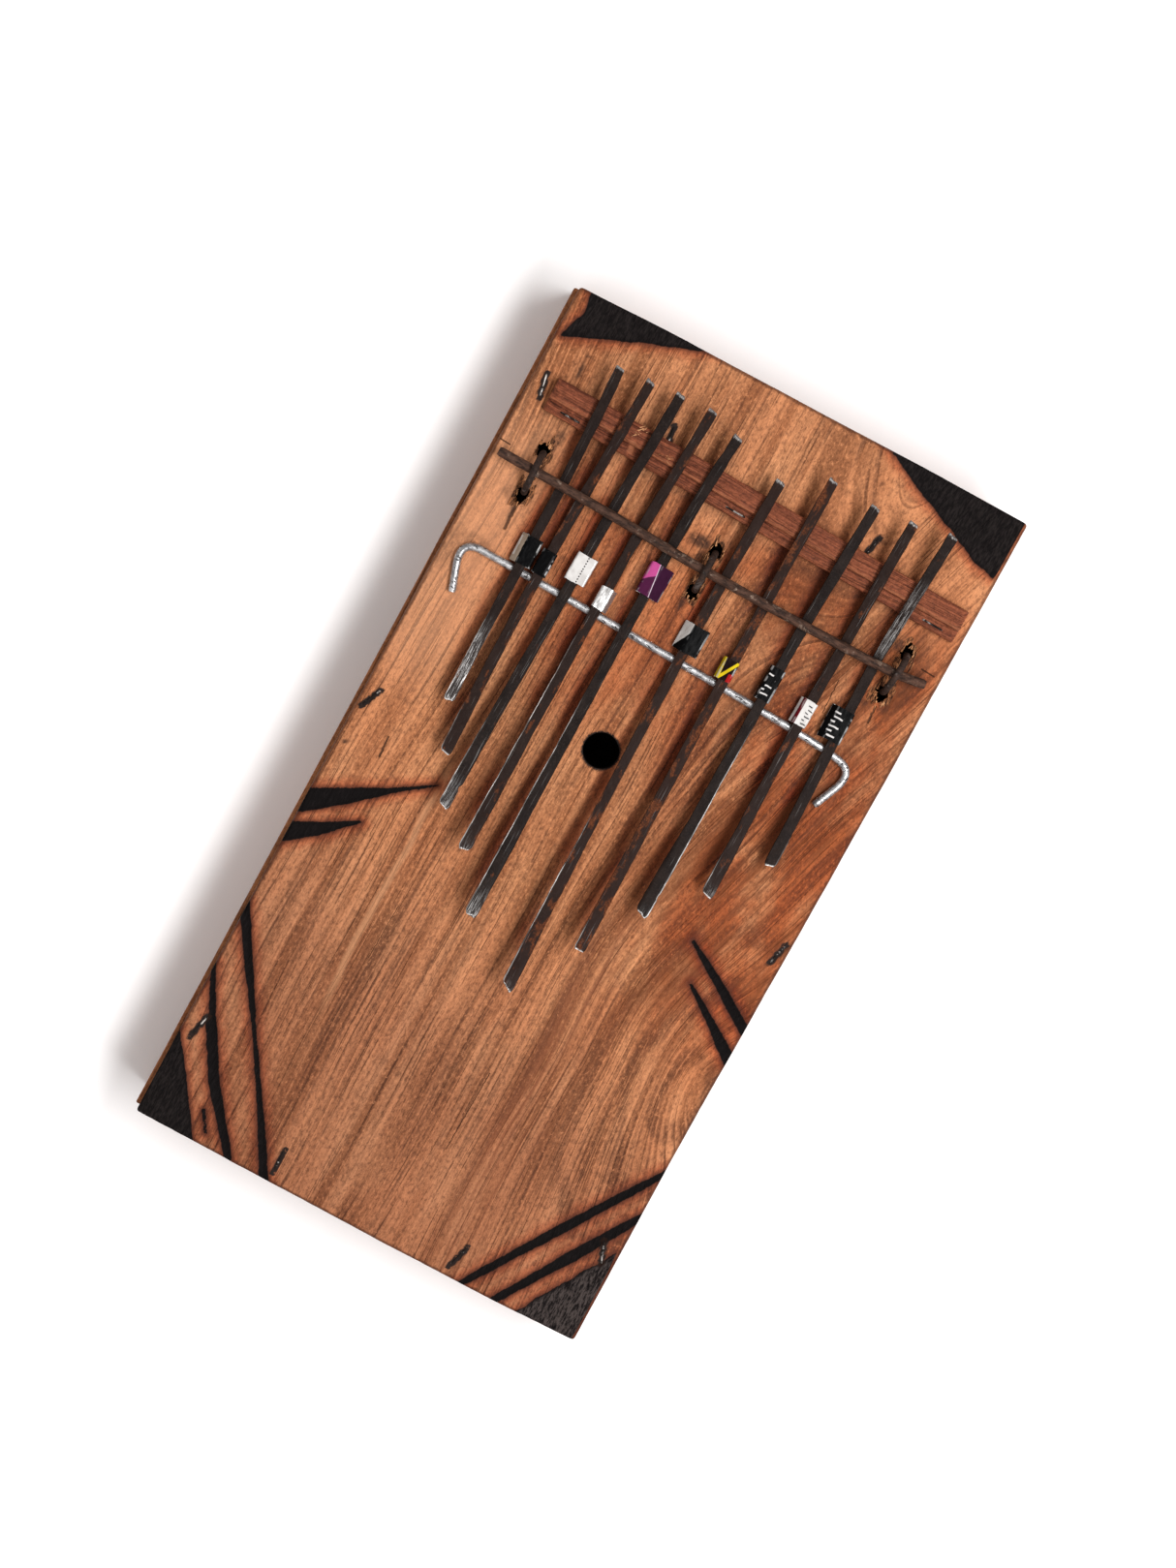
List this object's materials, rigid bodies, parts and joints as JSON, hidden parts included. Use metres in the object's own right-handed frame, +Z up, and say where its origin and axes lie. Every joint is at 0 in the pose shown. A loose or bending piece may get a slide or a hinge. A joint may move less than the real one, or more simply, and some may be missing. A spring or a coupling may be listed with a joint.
{
  "type": "mbira",
  "caption": "Box mbira: hammered steel tines clamped over two bridges by a tied pressure bar on a wooden sound box, with sliding buzz rings of can metal.",
  "frame": {"origin": "centre of the underside of the sound box, where it lies on a table", "axes": "+Z up from the back board to the tines; +Y from the player's end to the head, where the tines are clamped; +X to the player's right"},
  "size_m": [0.1364, 0.2536, 0.0434],
  "materials": {
    "soundboard_wood": "orange-brown hardwood, oiled, burnt decoration",
    "rail_wood": "hardwood, oiled",
    "back_wood": "thin hardwood board",
    "bridge_wood": "reddish hardwood, worn",
    "tine_steel": "hammered, blackened, rust and bright scratches",
    "rusty_iron": "rusted round bar",
    "tie_wire": "dark annealed wire",
    "bridge_wire": "drawn wire with gouges",
    "staple_steel": "galvanised, patches of rust",
    "nail_steel": "dull",
    "can_metal_01": "printed drinks-can metal, printed side out",
    "can_metal_02": "printed drinks-can metal, printed side out",
    "can_metal_03": "printed drinks-can metal, printed side out",
    "can_metal_04": "bare drinks-can metal",
    "can_metal_05": "printed drinks-can metal, printed side out",
    "can_metal_06": "printed drinks-can metal, printed side out",
    "can_metal_07": "printed drinks-can metal, printed side out",
    "can_metal_08": "printed drinks-can metal, printed side out",
    "can_metal_09": "printed drinks-can metal, printed side out",
    "can_metal_10": "printed drinks-can metal, printed side out"
  },
  "bodies": {
    "sound_box": {"soundboard": "soundboard_wood", "side_rail_left": "rail_wood", "side_rail_right": "rail_wood", "end_rail_head": "rail_wood", "end_rail_tail": "rail_wood", "back_board": "back_wood", "bridge_brace": "rail_wood", "rear_bridge": "bridge_wood", "front_bridge": "bridge_wire", "pressure_bar": "rusty_iron", "soundboard_staples": "staple_steel", "rear_bridge_staples": "staple_steel", "frame_nails": "nail_steel", "back_board_nails": "nail_steel", "tie_loop_left": "tie_wire", "tie_loop_middle": "tie_wire", "tie_loop_right": "tie_wire", "tine_01_clamped_end": "tine_steel", "tine_02_clamped_end": "tine_steel", "tine_03_clamped_end": "tine_steel", "tine_04_clamped_end": "tine_steel", "tine_05_clamped_end": "tine_steel", "tine_06_clamped_end": "tine_steel", "tine_07_clamped_end": "tine_steel", "tine_08_clamped_end": "tine_steel", "tine_09_clamped_end": "tine_steel", "tine_10_clamped_end": "tine_steel"},
    "tine_01_free_length": {"tine_01_playing_end": "tine_steel"},
    "buzz_ring_01_body": {"buzz_ring_01": "can_metal_01"},
    "tine_02_free_length": {"tine_02_playing_end": "tine_steel"},
    "buzz_ring_02_body": {"buzz_ring_02": "can_metal_02"},
    "tine_03_free_length": {"tine_03_playing_end": "tine_steel"},
    "buzz_ring_03_body": {"buzz_ring_03": "can_metal_03"},
    "tine_04_free_length": {"tine_04_playing_end": "tine_steel"},
    "buzz_ring_04_body": {"buzz_ring_04": "can_metal_04"},
    "tine_05_free_length": {"tine_05_playing_end": "tine_steel"},
    "buzz_ring_05_body": {"buzz_ring_05": "can_metal_05"},
    "tine_06_free_length": {"tine_06_playing_end": "tine_steel"},
    "buzz_ring_06_body": {"buzz_ring_06": "can_metal_06"},
    "tine_07_free_length": {"tine_07_playing_end": "tine_steel"},
    "buzz_ring_07_body": {"buzz_ring_07": "can_metal_07"},
    "tine_08_free_length": {"tine_08_playing_end": "tine_steel"},
    "buzz_ring_08_body": {"buzz_ring_08": "can_metal_08"},
    "tine_09_free_length": {"tine_09_playing_end": "tine_steel"},
    "buzz_ring_09_body": {"buzz_ring_09": "can_metal_09"},
    "tine_10_free_length": {"tine_10_playing_end": "tine_steel"},
    "buzz_ring_10_body": {"buzz_ring_10": "can_metal_10"}
  },
  "joints": [
    {"name": "tine_01_pluck", "type": "hinge", "parent": "sound_box", "child": "tine_01_free_length", "pos_m": [-0.0457, 0.05067, 0.03488], "axis": [1, 0, 0], "range_deg": [-2, 3], "stiffness_Nm_per_rad": 6.839},
    {"name": "buzz_ring_01_slide", "type": "slide", "parent": "sound_box", "child": "buzz_ring_01_body", "axis": [0.0079, -0.9987, 0.0505], "range_m": [-0.01332, 0.00013]},
    {"name": "tine_02_pluck", "type": "hinge", "parent": "sound_box", "child": "tine_02_free_length", "pos_m": [-0.0402, 0.05056, 0.03488], "axis": [1, 0, 0], "range_deg": [-2, 3], "stiffness_Nm_per_rad": 5.198},
    {"name": "buzz_ring_02_slide", "type": "slide", "parent": "sound_box", "child": "buzz_ring_02_body", "axis": [-0.0238, -0.9984, 0.0506], "range_m": [-0.01436, 0.00014]},
    {"name": "tine_03_pluck", "type": "hinge", "parent": "sound_box", "child": "tine_03_free_length", "pos_m": [-0.0316, 0.0504, 0.03488], "axis": [1, 0, 0], "range_deg": [-2, 3], "stiffness_Nm_per_rad": 4.183},
    {"name": "buzz_ring_03_slide", "type": "slide", "parent": "sound_box", "child": "buzz_ring_03_body", "axis": [-0.0198, -0.9985, 0.0507], "range_m": [-0.01044, 0.0031]},
    {"name": "tine_04_pluck", "type": "hinge", "parent": "sound_box", "child": "tine_04_free_length", "pos_m": [-0.0224, 0.05023, 0.03488], "axis": [1, 0, 0], "range_deg": [-2, 3], "stiffness_Nm_per_rad": 3.755},
    {"name": "buzz_ring_04_slide", "type": "slide", "parent": "sound_box", "child": "buzz_ring_04_body", "axis": [-0.02, -0.9985, 0.0509], "range_m": [-0.01513, 0.00007]},
    {"name": "tine_05_pluck", "type": "hinge", "parent": "sound_box", "child": "tine_05_free_length", "pos_m": [-0.0129, 0.05004, 0.03488], "axis": [1, 0, 0], "range_deg": [-2, 3], "stiffness_Nm_per_rad": 3.128},
    {"name": "buzz_ring_05_slide", "type": "slide", "parent": "sound_box", "child": "buzz_ring_05_body", "axis": [-0.0121, -0.9986, 0.0514], "range_m": [-0.00265, 0.00927]},
    {"name": "tine_06_pluck", "type": "hinge", "parent": "sound_box", "child": "tine_06_free_length", "pos_m": [0.0035, 0.04967, 0.03488], "axis": [1, 0, 0], "range_deg": [-2, 3], "stiffness_Nm_per_rad": 2.747},
    {"name": "buzz_ring_06_slide", "type": "slide", "parent": "sound_box", "child": "buzz_ring_06_body", "axis": [-0.0163, -0.9985, 0.0517], "range_m": [-0.01152, 0.00143]},
    {"name": "tine_07_pluck", "type": "hinge", "parent": "sound_box", "child": "tine_07_free_length", "pos_m": [0.0165, 0.04921, 0.03488], "axis": [1, 0, 0], "range_deg": [-2, 3], "stiffness_Nm_per_rad": 3.373},
    {"name": "buzz_ring_07_slide", "type": "slide", "parent": "sound_box", "child": "buzz_ring_07_body", "axis": [0, -0.9987, 0.0508], "range_m": [-0.01521, 0.00029]},
    {"name": "tine_08_pluck", "type": "hinge", "parent": "sound_box", "child": "tine_08_free_length", "pos_m": [0.02805, 0.0488, 0.03488], "axis": [1, 0, 0], "range_deg": [-2, 3], "stiffness_Nm_per_rad": 4.263},
    {"name": "buzz_ring_08_slide", "type": "slide", "parent": "sound_box", "child": "buzz_ring_08_body", "axis": [-0.0137, -0.9986, 0.0501], "range_m": [-0.0111, 0.0009]},
    {"name": "tine_09_pluck", "type": "hinge", "parent": "sound_box", "child": "tine_09_free_length", "pos_m": [0.03965, 0.04838, 0.03488], "axis": [1, 0, 0], "range_deg": [-2, 3], "stiffness_Nm_per_rad": 5.389},
    {"name": "buzz_ring_09_slide", "type": "slide", "parent": "sound_box", "child": "buzz_ring_09_body", "axis": [-0.0213, -0.9986, 0.0494], "range_m": [-0.01469, 0.00012]},
    {"name": "tine_10_pluck", "type": "hinge", "parent": "sound_box", "child": "tine_10_free_length", "pos_m": [0.0502, 0.04781, 0.03488], "axis": [1, 0, 0], "range_deg": [-2, 3], "stiffness_Nm_per_rad": 7.804},
    {"name": "buzz_ring_10_slide", "type": "slide", "parent": "sound_box", "child": "buzz_ring_10_body", "axis": [0.0189, -0.9987, 0.0484], "range_m": [-0.01228, 0.00109]}
  ]
}
